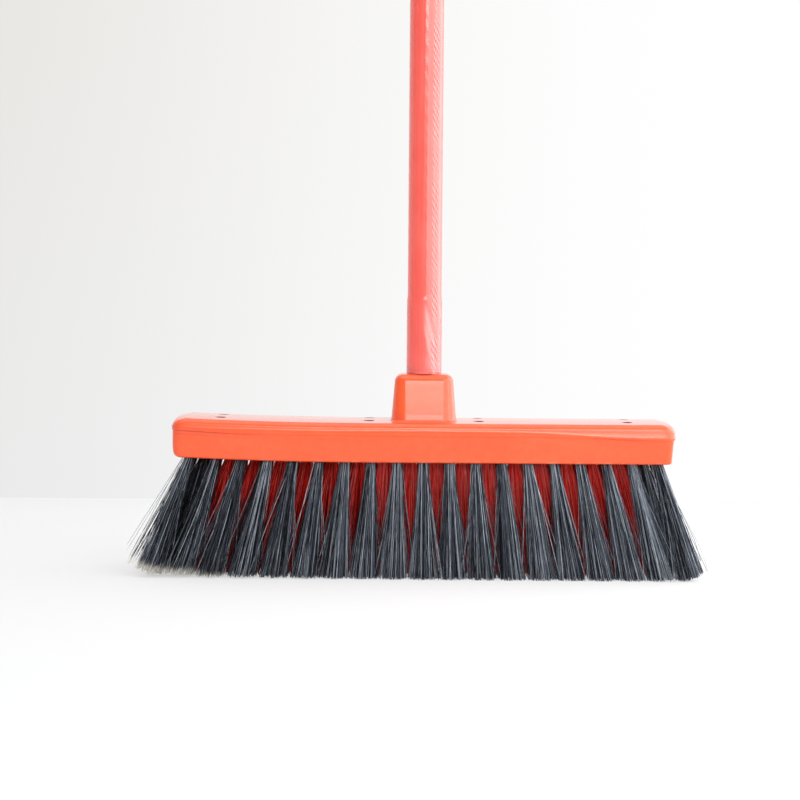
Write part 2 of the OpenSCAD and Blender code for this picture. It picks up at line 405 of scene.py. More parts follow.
@dataclass(frozen=True)
class MouldedPlastic:
    """Glossy moulded plastic with faint flow marks, specks and fine dimpling."""

    name: str
    colour: Colour
    pale: Colour
    roughness: float = 0.3
    coat: float = 0.35
    speck: float = 0.55
    coat_roughness: float = 0.13
    burnt: Colour = (0.28, 0.03, 0.015)
    scuffed: Colour = (1.0, 0.5, 0.38)

    def worn(self, s: Shader, base: Wire) -> tuple[Wire, Wire | float]:
        """The colour after wear, and the height of the marks that wear leaves."""
        return base, 0.0

    def material(self) -> bpy.types.Material:
        """Builds the material.

        Returns:
            The material.
        """
        s = Shader(self.name)
        flow = s.noise(s.stretched((9.0, 30.0, 30.0)), 3.0, 3.0)
        mottle = s.noise(s.place(), 210.0, 2.0)
        tint = (flow * 0.6 + mottle * 0.4).step(0.38, 0.72)
        cell = s.node("TexVoronoi", inputs={"Vector": s.place(), "Scale": 95.0}, output="Distance")
        specks = cell.fade(0.03, 0.07) * s.noise(s.place(), 60.0, 1.0).step(0.66, 0.7) * self.speck
        scuff = s.noise(s.stretched((90.0, 380.0, 380.0), (0.2, 0.5, 0.1)), 1.0, 3.0, 0.6).step(0.72, 0.84)
        base = s.mixed(tint, self.colour, self.pale)
        base = s.layered(base, (specks, self.burnt), (scuff * 0.3, self.scuffed))
        base, marks = self.worn(s, base)
        grain = s.noise(s.place(), 900.0, 2.0) * 0.1
        sweep = s.noise(s.stretched((14.0, 40.0, 40.0)), 1.6, 1.0)
        fine = s.bump(grain + marks, 0.2 * MM, 0.5)
        normal = s.bump(sweep, 0.9 * MM, 0.35, fine)
        rough = self.roughness + scuff * 0.25 + (mottle - 0.5) * 0.08
        return s.principled(Base_Color=base, Roughness=rough, IOR=1.5, Specular_IOR_Level=0.3,
                            Coat_Weight=self.coat, Coat_Roughness=self.coat_roughness, Normal=normal)


@dataclass(frozen=True)
class HeadPlastic(MouldedPlastic):
    """The head's plastic: its pits are painted dark as shade, scrapes and specks of dirt mark it, its lower
    edge is scuffed, and its left end is scored with grooves painted darker as shade.

    Scrapes are (x, y, half length), scores are (height above the underside, half width, depth), and
    the scores fade in and out along x over score_run; all in millimetres.
    """

    coat_roughness: float = 0.165
    pits: Pits = Pits()
    underside: float = 0.0
    scrapes: tuple[Triple, ...] = ((-112.0, 21.0, 6.0), (-140.0, 20.0, 2.2))
    scrape_d: float = 1.3
    scores: tuple[Triple, ...] = ((12.6, 0.65, 1.0), (10.4, 0.5, 0.7), (14.6, 0.5, 0.5))
    score_run: tuple[float, float, float, float] = (-162.0, -156.0, -150.0, -104.0)
    score_slope: float = 0.05
    # Real dirt for the scrapes and specks, and painted shade for the pits.
    dirt_and_shade: Colour = (0.16, 0.012, 0.008)
    # The scores' colour: painted shade along their grooves, whose dent is in the bump.
    scored: Colour = (0.62, 0.030, 0.020)
    rubbed: Colour = (1.0, 0.36, 0.26)

    def worn(self, s: Shader, base: Wire) -> tuple[Wire, Wire | float]:
        """The colour after wear and painted shade, and the height of the scores.

        The distance to the nearest pit is sqrt(dx^2 + dy^2), where dx = |||x| - m| - h|, m is halfway
        between the two pit places and h is half the way from one to the other. A score is a line
        along which z + score_slope * x plus slow noise stays the same.

        Args:
            s: The material's nodes.
            base: The colour so far.

        Returns:
            The new colour and the height.
        """
        x, y, z = s.split(s.place())
        near, far = self.pits.places
        dx = abs(abs(abs(x) - (far + near) / 2) - (far - near) / 2)
        dy = abs(abs(y) - self.pits.row)
        reach = (dx * dx + dy * dy) ** 0.5
        above = (z - self.underside) / MM
        top = above.step(20.0, 21.0)
        pit = reach.fade(self.pits.r * 1.02, self.pits.r * 1.12) * top
        x, y = x / MM, y / MM
        rag = s.noise(s.stretched((500.0, 900.0, 1.0)), 1.0, 2.0).step(0.34, 0.5)
        gone = [(((x - at) / half) ** 2 + ((y - row) / self.scrape_d) ** 2) ** 0.5
                for at, row, half in self.scrapes]
        scraped = [(off.fade(0.6, 1.1) * top * rag * 0.6, self.dirt_and_shade) for off in gone]
        speck = s.noise(s.stretched((420.0, 420.0, 300.0)), 1.0, 3.0, 0.65).step(0.69, 0.74)
        patch = s.noise(s.stretched((130.0, 500.0, 500.0)), 1.0, 2.0, 0.6).step(0.52, 0.68)
        start, full, fading, end = self.score_run
        level = above + x * self.score_slope + s.noise(s.stretched((55.0, 1.0, 1.0)), 1.0, 1.0) * 1.6
        score = x.step(start, full) * x.fade(fading, end) * sum(
            abs(level - at).fade(width * 0.2, width) * depth for at, width, depth in self.scores)
        # Pits: painted shade. Scrapes and specks: dirt. Scores: painted shade darkens their grooves.
        base = s.layered(base, (pit * 0.9, self.dirt_and_shade), *scraped,
                         (speck * (above.step(27.0, 29.0) * 0.45 + 0.12), self.dirt_and_shade),
                         (above.fade(0.3, 2.4) * patch * 0.3, self.rubbed), (score * 0.62, self.scored))
        return base, score * -0.9


@dataclass(frozen=True)
class ShrunkFilm:
    """Thin glossy film shrunk on a stick: spiral wrinkles, a crimped weld and a pleated lower end, with
    painted glints on the weld, painted sheen on its lit side and painted shade in its creases and pleats.

    Its surface coordinates are the distance round the stick and the height, both in metres. A score
    near the foot is a line along which height + score_slope * distance stays the same, and the dashes
    of the weld slant in the same way. The scores fade out over scored_h above the foot, and start
    scored_side short of the weld.
    """

    weld_at: float
    foot: float
    name: str = "shrunk_film"
    colour: Colour = (0.93, 0.118, 0.088)
    deep: Colour = (0.88, 0.080, 0.055)
    # painted_highlight: painted sheen and glints. shaded: painted shade. dash_shade: painted shade at the
    # dashes' ends.
    painted_highlight: Colour = (1.0, 0.55, 0.52)
    shaded: Colour = (0.58, 0.09, 0.075)
    dash_shade: Colour = (0.22, 0.045, 0.035)
    dash_pitch: float = 4.6 * MM
    dash_slope: float = 2.4
    dash_gap: float = 1.25 * MM
    dash_half: tuple[float, float] = (0.5 * MM, 1.15 * MM)
    score_slope: float = 3.1
    scored_h: tuple[float, float] = (34.0 * MM, 58.0 * MM)
    scored_side: float = 8.2 * MM
    rib_pitch: float = 1.05 * MM
    band_h: float = 4.6 * MM
    hem_h: float = 2.3 * MM

    def dashes(self, s: Shader, around: Wire, height: Wire) -> tuple[Wire, Wire]:
        """Two staggered columns of short slanting dashes along the weld.

        Args:
            s: The material's nodes.
            around: Distance round the stick.
            height: Height.

        Returns:
            How much a point is on a dash's crest, painted pale as a glint, and how much on its dark end,
            painted as shade.
        """
        drift = s.noise(s.joined(around * 60.0, height * 70.0), 1.0, 1.0) * (1.8 * MM)
        crests, ends = [], []
        for side, offset in ((-1.0, 0.0), (1.0, 0.5)):
            off = around - (self.weld_at + side * self.dash_gap)
            turn = ((height + around * self.dash_slope + drift) / self.dash_pitch + offset) % 1.0
            strip = abs(off).fade(*self.dash_half)
            crests.append(abs(turn - 0.5).fade(0.08, 0.26) * strip)
            ends.append(abs(turn - 0.12).fade(0.05, 0.2) * strip)
        here = s.noise(s.joined(height * 60.0, 3.0), 1.0, 2.0).step(0.34, 0.56) * 0.75 + 0.1
        return sum(crests) * here, sum(ends) * here

    def material(self) -> bpy.types.Material:
        """Builds the material.

        Returns:
            The material.
        """
        s = Shader(self.name)
        around, height = s.surface()

        def scored(across: float, along: float, seed: float, detail: float, roughness: float) -> Wire:
            """Noise that is drawn out along the scores, at these scales across and along them."""
            steep, level = height + around * self.score_slope, height * self.score_slope - around
            return s.noise(s.joined(steep * across, level * along, seed), 1.0, detail, roughness)

        drift = s.noise(s.joined(around * 55.0, height * 40.0), 1.0, 1.0)
        streak = s.noise(s.joined(around * 900.0, height * 7.0), 1.0, 3.0)
        low = height.fade(*(self.foot + level for level in self.scored_h))
        # lit is the side that the lamps light; the sheen clouds painted there are a highlight, and the
        # creases are painted darker there.
        lit = (around - self.weld_at + self.scored_side).step(0.0, 3.0 * MM)
        crease = abs(scored(120.0, 9.0, 0.0, 2.0, 0.55) - 0.5).fade(0.004, 0.03) * low * (lit * 0.85 + 0.15)
        sheen_cloud = scored(60.0, 6.0, 5.0, 1.0, 0.5).step(0.46, 0.66) * low * lit
        crest, dark = self.dashes(s, around, height)
        ribs = abs((around / self.rib_pitch) % 1.0 - 0.5)
        dent = ribs.fade(0.05, 0.3) * (height - self.foot - self.band_h).fade(0.0, 1.2 * MM)
        hem = abs(height - self.foot - self.hem_h - (drift - 0.5) * (3.0 * MM)).fade(0.15 * MM, 0.5 * MM)
        # The streaks are the film's own tone; the layers paint sheen clouds and dash crests as highlight, and
        # creases, dash ends, rib dents and the hem as shade.
        base = s.mixed((streak * 0.6 + drift * 0.4).step(0.36, 0.66), self.deep, self.colour)
        base = s.layered(base, (sheen_cloud * 0.34, self.painted_highlight), (crease * 0.55, self.shaded),
                         (crest * 0.45, self.painted_highlight), (dark * 0.9, self.dash_shade),
                         (dent * 0.45, self.shaded), (hem * 0.6, self.shaded))
        fine = s.bump(crest * 1.3 - dark * 1.3 - dent - hem - crease * 0.8, 0.12 * MM, 0.8)
        normal = s.bump(scored(75.0, 7.0, 9.0, 2.0, 0.6), 0.30 * MM, low * lit * 0.75 + 0.08, fine)
        rough = 0.22 + (streak - 0.5) * 0.14 + crest * 0.1 + dark * 0.4
        return s.principled(Base_Color=base, Roughness=rough, IOR=1.6, Coat_Weight=1.0 - dark,
                            Coat_Roughness=0.13, Normal=normal)


@dataclass(frozen=True)
class Bristle:
    """Plastic filament: each strand has its own depth of colour, and its tip is frayed pale.

    The first surface coordinate is the strand's own number from 0 to 1, the second runs from 0 at
    the head to 1 at the tip. The strands' colours run from dark to pale, at places from 0 to 1.
    """

    name: str
    strands: tuple[Colour, ...]
    frayed: Colour
    gloss: float
    sheen: Colour = (1.0, 1.0, 1.0)
    roughness: float = 0.38
    fray_from: float = 0.92
    fray_full: float = 0.97
    places: tuple[float, ...] = (0.0, 0.28, 0.5, 0.8, 1.0)

    def material(self) -> bpy.types.Material:
        """Builds the material.

        Returns:
            The material.
        """
        s = Shader("bristle_" + self.name)
        strand, along = s.surface()
        fleck = s.noise(s.joined(strand * 90.0, along * 16.0), 1.0, 2.0)
        # Painted light: strands are drawn lighter near the head and towards the tips.
        paler = along.fade(0.0, 0.55) * 0.07 + along.step(0.6, 0.95) * 0.1
        tone = strand + (fleck - 0.5) * 0.55 + paler
        stops = list(zip(self.places, self.strands))
        base = s.node("ValToRGB", {"stops": stops}, {"Fac": tone}, output="Color")
        fray = along.step(self.fray_from, self.fray_full) * (0.75 + 0.25 * ((strand * 37.0) % 1.0))
        base = s.mixed(fray, base, self.frayed)
        return s.principled(Base_Color=base, Roughness=self.roughness + fray * 0.4, IOR=1.5,
                            Specular_IOR_Level=self.gloss, Specular_Tint=self.sheen)


class BristleShade(Enum):
    """The two kinds of bristle."""

    GREY = Bristle("grey", ((0.002, 0.002, 0.003), (0.010, 0.011, 0.015), (0.058, 0.067, 0.088),
                            (0.170, 0.194, 0.232), (0.50, 0.545, 0.61)), (1.0, 0.97, 0.88), 0.16)
    RED = Bristle("red", ((0.08, 0.002, 0.002), (0.62, 0.012, 0.010), (1.0, 0.034, 0.026),
                          (1.0, 0.075, 0.060), (1.0, 0.24, 0.23)), (0.95, 0.50, 0.45), 1.0,
                  (1.0, 0.12, 0.10))


@dataclass(frozen=True)
class TurnedWood:
    """Pale softwood with grain along Z."""

    name: str = "turned_wood"
    early: Colour = (0.62, 0.42, 0.23)
    late: Colour = (0.36, 0.20, 0.09)

    def material(self) -> bpy.types.Material:
        """Builds the material.

        Returns:
            The material.
        """
        s = Shader(self.name)
        warped = s.stretched((160.0, 160.0, 5.0))
        rings = s.node("TexWave", {"wave_type": "RINGS", "rings_direction": "Z"},
                       {"Vector": warped, "Scale": 0.9, "Distortion": 3.0, "Detail": 3.0}, output="Fac")
        fibre = s.noise(s.stretched((900.0, 900.0, 14.0)), 1.0, 3.0)
        base = s.mixed(rings * 0.7 + fibre * 0.3, self.early, self.late)
        return s.principled(Base_Color=base, Roughness=0.55 + fibre * 0.25, IOR=1.45,
                            Normal=s.bump(fibre, 0.05 * MM, 0.6))


@dataclass(frozen=True)
class DrawnWire:
    """Flat drawn steel wire with fine lines."""

    name: str = "drawn_wire"
    colour: Colour = (0.56, 0.56, 0.58)
    dull: Colour = (0.34, 0.34, 0.36)

    def material(self) -> bpy.types.Material:
        """Builds the material.

        Returns:
            The material.
        """
        s = Shader(self.name)
        lines = s.noise(s.stretched((60.0, 4000.0, 4000.0)), 1.0, 2.0)
        base = s.mixed(lines, self.colour, self.dull)
        return s.principled(Base_Color=base, Metallic=1.0, Roughness=0.25 + lines * 0.3)


# ---------------------------------------------------------------- head


@dataclass
class TuftPlan:
    """Where the tufts stand in the head and how they lean.

    Rows run from 0 at the front to 3 at the back; odd rows stand between the tufts of even rows.
    """

    front_count: int = 19
    rows: int = 4
    end_margin: float = 10.6 * MM
    row_pitch: float = 13.5 * MM
    lean_step: float = 1.75
    row_lean: float = 8.0
    hole_r: float = 3.2 * MM
    tip_gap: float = 0.5 * MM
    clusters: int = 4

    def __post_init__(self) -> None:
        """Takes the head's length and underside from the frame."""
        low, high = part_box("head_block")
        self.underside = low.z
        self.pitch = (high.x - low.x - 2 * self.end_margin) / (self.front_count - 1)
        tip_pitch = self.pitch + self.underside * math.tan(math.radians(self.lean_step))
        self.tip_r = (tip_pitch - self.tip_gap) / 2

    def count(self, row: int) -> int:
        """Number of tufts in a row."""
        return self.front_count - row % 2

    def mouth(self, row: int, n: int) -> Array:
        """Middle of a tuft's hole in the head's underside."""
        x = (n - (self.count(row) - 1) / 2) * self.pitch
        return np.array([x, (row - (self.rows - 1) / 2) * self.row_pitch, self.underside])

    def drift(self, row: int, n: int) -> Array:
        """How far a tuft's axis moves in X and Y for each metre that it goes down.

        Args:
            row: The tuft's row.
            n: Its number in the row.

        Returns:
            The two slopes, the tangents of its leans along and across the head.
        """
        along = math.tan(math.radians(self.lean_step * (n - (self.count(row) - 1) / 2)))
        across = math.tan(math.radians(self.row_lean * (2 * row / (self.rows - 1) - 1)))
        return np.array([along, across])

    def nodes(self) -> Iterable[tuple[str, BristleShade, list[tuple[int, int]]]]:
        """Each tuft node with its colour and its tufts as (row, number) pairs.

        Returns:
            (node, kind of bristle, tufts) for each CAD node.
        """
        grey, red = BristleShade.GREY, BristleShade.RED
        for n in range(self.count(0)):
            yield f"front_tuft_{n + 1}", grey, [(0, n)]
        for n in range(self.count(3)):
            yield f"rear_tuft_{n + 1}", grey, [(3, n)]
        for row in (1, 2):
            inner = self.count(row) - 2
            for k in range(1, self.clusters + 1):
                first, last = 1 + (k - 1) * inner // self.clusters, k * inner // self.clusters
                yield f"inner_tufts_{row}_{k}", red, [(row, n) for n in range(first, last + 1)]
        yield "left_end_tufts", grey, [(row, 0) for row in (1, 2)]
        yield "right_end_tufts", grey, [(row, self.count(row) - 1) for row in (1, 2)]


@dataclass
class ThreadForm:
    """A right-hand screw thread whose middle starts at height start, on the +X side."""

    start: float
    turns: float
    lead: float = 5.0 * MM

    def ridge(self, angle: Array, z: float, foot: float, crest: float, rise: float) -> Array:
        """Height of the ridge above its core.

        The distance to the nearest coil is d = |(z - start - lead * angle / 2pi) wrapped to half a
        lead|. The ridge is level at rise up to d = crest and falls in a straight line to 0 at d = foot.

        Args:
            angle: Angle about the axis, in radians.
            z: Height of the ring of points.
            foot: Half the ridge's width at its foot.
            crest: Half its width at its crest.
            rise: Its full height.

        Returns:
            The height at each point, fading out past both ends of the thread.
        """
        turn = np.mod(angle, 2 * np.pi) / (2 * np.pi)
        phase = (z - self.start) / self.lead - turn
        coil = np.round(phase)
        d = np.abs(phase - coil) * self.lead
        done = coil + turn
        ends = smooth(-0.02, 0.06, done) * (1.0 - smooth(self.turns - 0.06, self.turns + 0.02, done))
        return rise * np.clip((foot - d) / (foot - crest), 0.0, 1.0) * ends


@dataclass
class Head:
    """The moulded head: a long block with a stepped side, a crowned top, pits and a screw socket."""

    plan: TuftPlan
    finish: MouldedPlastic
    slab_h: float = 10.0 * MM
    crown_h: float = 1.0 * MM
    ledge: float = 1.0 * MM
    draft: float = 1.2 * MM
    corner_r: float = 6.0 * MM
    edge_r: float = 4.0 * MM
    foot_r: float = 1.7 * MM
    shoulder_h: float = 4.6 * MM
    shoulder_in: float = 0.19 * MM
    end_shoulder: float = 3.3 * MM
    warp: float = 2.6 * MM
    corner_drop: float = 1.4 * MM
    end_drop: float = 1.3 * MM
    pits: Pits = Pits()
    crest_h: float = 26.0 * MM
    hole_depth: float = 2.0 * MM
    belly: float = 0.97 * MM
    belly_from: float = 88.0 * MM
    belly_to: float = 148.0 * MM
    socket_base: tuple[float, float] = (41.8 * MM, 36.0 * MM)
    socket_top: tuple[float, float] = (37.6 * MM, 28.5 * MM)
    socket_base_r: float = 9.4 * MM
    socket_top_r: float = 7.0 * MM
    socket_rim_r: float = 4.5 * MM
    fillet_r: float = 1.6 * MM
    bore_r: float = 9.4 * MM
    groove_r: float = 10.9 * MM
    groove_foot: float = 1.49 * MM
    groove_crest: float = 1.1 * MM
    bore_spare: float = 3.0 * MM
    thread_lift: float = 1.3 * MM
    thread_turns: float = 8.0
    mouth_r: float = 11.05 * MM
    mouth_chamfer: float = 0.6 * MM
    pocket_r: float = 13.5 * MM
    pocket_gap: float = 1.2 * MM
    socket_points: tuple[int, int, int] = (40, 32, 9)
    rim_band: float = 0.62 * MM
    ripple_h: float = 0.045 * MM
    wobble: float = 0.16 * MM
    dimple: float = 0.05 * MM
    fillet_sunk: float = 0.08 * MM
    foot_sunk: float = 4.08 * MM
    bore_step: float = 0.42 * MM
    long_points: int = 260
    short_points: int = 32
    corner_points: int = 7
    under_count: int = 27
    top_count: int = 44

    def __post_init__(self) -> None:
        """Takes the outer sizes from the frame."""
        low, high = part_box("head_block")
        self.half_l, self.half_d = high.x, high.y
        self.underside, self.rim = low.z, high.z
        self.tip_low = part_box("screw_tip")[0].z
        self.bore_floor = self.tip_low - self.bore_spare
        self.crest = self.underside + self.crest_h
        self.slab_low = self.crest - self.crown_h - self.slab_h
        self.last_in = self.half_d - 0.35 * MM
        self.socket_foot = self.crest - 0.6 * MM
        self.socket_high = self.rim - self.socket_rim_r

    def outline(self, half_x: float, half_y: float, r: float,
                points: tuple[int, int, int] | None = None) -> Array:
        """A rounded rectangle in plan, turning left from the front of its right side.

        Args:
            half_x: Half its length.
            half_y: Half its depth.
            r: Radius of its corners.
            points: Points on a long side, on a short side and on a corner.

        Returns:
            An (n, 2) array of places.
        """
        n_long, n_short, n_corner = points or (self.long_points, self.short_points, self.corner_points)
        flat_x, flat_y = half_x - r, half_y - r
        bend = np.linspace(0.0, np.pi / 2, n_corner + 2)[1:-1]
        up = np.linspace(-1.0, 1.0, n_short)
        over = np.linspace(1.0, -1.0, n_long)
        right = np.stack([np.full(n_short, half_x), up * flat_y], -1)
        corner_a = np.stack([flat_x + r * np.cos(bend), flat_y + r * np.sin(bend)], -1)
        back = np.stack([over * flat_x, np.full(n_long, half_y)], -1)
        corner_b = np.stack([-flat_x - r * np.sin(bend), flat_y + r * np.cos(bend)], -1)
        quarter = np.concatenate([right, corner_a, back, corner_b])
        return np.concatenate([quarter, -quarter])

    def crown(self, y: Array) -> Array:
        """Height of the top: highest along the middle, falling with the square of y."""
        edge = self.crest - self.crown_h
        return edge + self.crown_h * (1.0 - (y / self.half_d) ** 2)

    def bend(self, x: Array) -> Array:
        """How far the worn left end curls up: warp times the square of the way along it."""
        return self.warp * np.clip((-x / self.half_l - 0.25) / 0.75, 0.0, 1.0) ** 2

    def fall(self, plan: Array) -> Array:
        """How far the top falls away at the ends: end_drop, and corner_drop more near the corners."""
        out, across = np.abs(plan[:, 0]) / self.half_l, np.abs(plan[:, 1]) / self.half_d
        return smooth(0.94, 1.0, out) * (self.end_drop + self.corner_drop * smooth(0.5, 1.0, across))

    def shoulder_growth(self, x: Array) -> Array:
        """How much taller the tilted shoulder is than in the middle: most at the right end.

        Args:
            x: Places along the head.

        Returns:
            The growth: end_shoulder times smooth steps towards both ends.
        """
        right = smooth(0.35, 0.92, x / self.half_l)
        left = smooth(0.6, 0.95, -x / self.half_l)
        return self.end_shoulder * (right + 0.25 * left)

    def ledge_rise(self, x: Array) -> Array:
        """How far the ledge line lies above the slab's nominal foot along the head.

        Args:
            x: Places along the head.

        Returns:
            The rise: less at the right end, more at the left.
        """
        right = smooth(0.6, 0.9, x / self.half_l)
        left = smooth(0.7, 1.0, -x / self.half_l)
        return (1.9 - 1.3 * right + 1.0 * left) * MM

    def side_profile(self) -> list[tuple[float, float, bool]]:
        """The side as (step in, height or drop below the top, hangs from the top) from foot to edge.

        Returns:
            A round foot, a drafted wall, the ledge, its lip, a slanted shoulder and a round edge.
        """
        slab_low, foot_top, low_in = self.slab_low, self.underside + self.foot_r, self.ledge + self.draft
        foot = [(low_in + self.foot_r * (1 - math.sin(a)), foot_top - self.foot_r * math.cos(a), False)
                for a in np.linspace(0.1, math.pi / 2, 6)]
        wall_h = slab_low - self.underside - 1.5 * self.foot_r
        wall = [(low_in - self.draft * t, foot_top + wall_h * t, False) for t in np.linspace(0.1, 1, 7)]
        step = [(self.ledge * (1 - t) + 0.03 * MM * t, slab_low - 0.35 * MM * (1 - t), False)
                for t in (0.3, 0.7, 0.95)]
        lip = [(0.12 * MM, slab_low + 0.1 * MM, False), (0.0, slab_low + 0.45 * MM, False)]
        start = math.radians(9.0)
        arc_r = self.edge_r - self.shoulder_in
        shoulder = [(self.shoulder_in * t, arc_r + (self.shoulder_h - arc_r) * (1 - t), True)
                    for t in (0, 0.1, 0.9)]
        arc = [(self.shoulder_in + arc_r * (math.cos(start) - math.cos(a)), arc_r * (1 - math.sin(a)), True)
               for a in np.linspace(start, math.pi / 2, 11)]
        return foot + wall + step + lip + shoulder + arc

    def pressed(self, plan: Array, z: float | Array, centres: Array, r: float, depth: float) -> Array:
        """Presses round pits with crisp rims into a level stretch.

        Points near a rim move onto its circle, and points inside it move by depth.

        Args:
            plan: (n, 2) places.
            z: Their height, or one for each.
            centres: (m, 2) middles of the pits.
            r: Their radius.
            depth: How far the floor moves in Z; negative presses down.

        Returns:
            The (n, 3) places after pressing.
        """
        off = plan[:, None, :] - centres[None, :, :]
        dist = np.linalg.norm(off, axis=-1)
        near = dist.argmin(1)
        d = dist[np.arange(len(plan)), near]
        toward = off[np.arange(len(plan)), near] / np.maximum(d, 1e-9)[:, None]
        on_rim, on_floor = np.abs(d - r) < self.rim_band, d <= r - self.rim_band
        plan = np.where(on_rim[:, None], centres[near] + toward * r, plan)
        return raised(plan, np.where(on_floor, z + depth, z))

    def ring(self, inset: float) -> Array:
        """The block's outline, stepped in."""
        return self.outline(self.half_l - inset, self.half_d - inset, max(self.corner_r - inset, 0.3 * MM))

    def under_rings(self) -> Iterable[Array]:
        """Rings of the underside from its middle line out, with the tuft holes pressed in.

        Returns:
            The rings in order.
        """
        mouths = np.array([self.plan.mouth(row, n)[:2] for row in range(self.plan.rows)
                           for n in range(self.plan.count(row))])
        hole_r = self.plan.hole_r + 0.1 * MM
        for inset in np.linspace(self.last_in, self.ledge + self.draft + self.foot_r, self.under_count):
            yield self.pressed(self.ring(inset), self.underside, mouths, hole_r, self.hole_depth)

    def side_rings(self) -> Iterable[Array]:
        """Rings of the side from its foot to the edge of the top.

        Sways move the front and back sides in Y. All rings share a ripple, a sum of sines along X;
        the wall under the ledge has a belly in the middle and a bulge at the left end, and the
        shoulder over the ledge tilts, falls away at the ends and wobbles.

        Returns:
            The rings in order.
        """
        wave = rng(1).normal(size=(2, 6))
        foot_top = self.underside + self.foot_r
        arc_low = self.edge_r - self.shoulder_in
        for inset, level, hangs in self.side_profile():
            plan = self.ring(inset)
            x = plan[:, 0].copy()
            ripple = sum(a * np.sin(x * (18.0 + 11.0 * k) + 3.0 * b) for k, (a, b) in enumerate(wave.T))
            sway = self.ripple_h * (ripple - 3.2)
            if hangs:
                share = np.clip((level - arc_low) / (self.shoulder_h - arc_low), 0.0, 1.0)
                growth = self.shoulder_growth(x)
                wobbles = 0.0 < share < 1.0 or level == self.shoulder_h
                z = self.crown(plan[:, 1]) - level - growth * share - self.fall(plan) * (1.0 - share)
                z = z + self.wobble * (ripple - 0.3) * wobbles
                sway = sway - growth * 0.17 * (1.0 - share)
            else:
                up = np.clip((level - foot_top) / (self.slab_low - foot_top), 0.0, 1.0)
                z = level + self.ledge_rise(x) * up
            if not hangs and level < self.slab_low:
                sway = sway + self.belly * (1.0 - smooth(self.belly_from, self.belly_to, np.abs(x)))
                down = (self.slab_low - level) / (self.slab_low - self.underside)
                bulge = (0.5 + 1.5 * down - 2.6 * down ** 8) * MM
                plan[:, 0] -= bulge * smooth(0.97, 0.985, -x / self.half_l)
            plan[:, 1] += np.sign(plan[:, 1]) * sway * smooth(0.6, 0.95, np.abs(plan[:, 1]) / self.half_d)
            plan = np.clip(plan, (-self.half_l, -self.half_d), (self.half_l, self.half_d))
            yield raised(plan, z)

    def top_rings(self) -> Iterable[Array]:
        """Rings of the crowned top, with its pits and a pocket where the socket stands.

        Returns:
            The rings in order.
        """
        for inset in np.linspace(self.edge_r + 0.6 * MM, self.last_in, self.top_count):
            plan = self.ring(inset)
            top = self.crown(plan[:, 1])
            ring = self.pressed(plan, top, self.pits.centres(), self.pits.r, -self.pits.depth)
            x, y, z = ring.T
            z -= self.dimple * (1 + np.sin(x * 95.0) * np.cos(y * 130.0)) + self.fall(ring)
            z[np.hypot(x, y) < self.pocket_r] = self.bore_floor - self.pocket_gap
            yield ring

    def shell(self, work: Patchwork) -> None:
        """Adds the block as rings that run over its underside, up its side and over its top.

        Args:
            work: Where the block goes.
        """
        rings = [*self.under_rings(), *self.side_rings(), *self.top_rings()]
        for ring in rings:
            ring[:, 2] += self.bend(ring[:, 0])
        work.add_rings(rings, self.short_points // 2)

    def socket_wall(self, z: float, step: float = 0.0) -> Array:
        """The socket's outline at a height, between its base and its top.

        Args:
            z: The height.
            step: How far the outline is stepped out; in, where it is negative.

        Returns:
            An (n, 2) array of places.
        """
        t = (z - self.socket_foot) / (self.socket_high - self.socket_foot)
        r = self.socket_base_r + (self.socket_top_r - self.socket_base_r) * t
        half = [(low + (high - low) * t) / 2 + step for low, high in zip(self.socket_base, self.socket_top)]
        return self.outline(*half, max(r + step, 0.6 * MM), self.socket_points)

    def socket_sides(self) -> Iterable[Array]:
        """Rings from inside the block, up the fillet at the socket's foot and up its walls.

        Returns:
            The rings in order.
        """
        turns = np.linspace(0.0, math.pi / 2, 7)
        for a, sunk in ((0.0, self.foot_sunk), *((a, self.fillet_sunk) for a in turns)):
            plan = self.socket_wall(self.socket_foot, self.fillet_r * (1 - math.sin(a)))
            yield raised(plan, self.crown(plan[:, 1]) + self.fillet_r * (1 - math.cos(a)) - sunk)
        for z in np.linspace(self.crest + self.fillet_r + 0.6 * MM, self.socket_high, 12):
            yield raised(self.socket_wall(z), z)

    def socket_rim(self) -> Iterable[Array]:
        """Rings over the round rim, kept clear of the mouth.

        The rim is the part of a circle that leaves the tapered front and back walls without an edge.
        Where a ring has to stand clear of the mouth, its height follows the circle at that place.

        Returns:
            The rings in order.
        """
        low, high = self.socket_base[1], self.socket_top[1]
        tilt = math.atan2((low - high) / 2, self.socket_high - self.socket_foot)
        size = self.socket_rim_r / (1.0 - math.sin(tilt))
        for a in np.linspace(tilt, math.pi / 2, 12)[1:]:
            plan = self.socket_wall(self.socket_high, size * (math.cos(a) - math.cos(tilt)))
            reach = np.linalg.norm(plan, axis=1, keepdims=True)
            plan = plan * np.maximum(1.0, (self.mouth_r + 0.25 * MM) / reach)
            lean = np.clip(math.cos(tilt) - (high / 2 - np.abs(plan[:, 1])) / size, 0.0, 1.0)
            limit = np.sqrt(1.0 - lean ** 2)
            yield raised(plan, self.socket_high + size * (np.minimum(limit, math.sin(a)) - math.sin(tilt)))

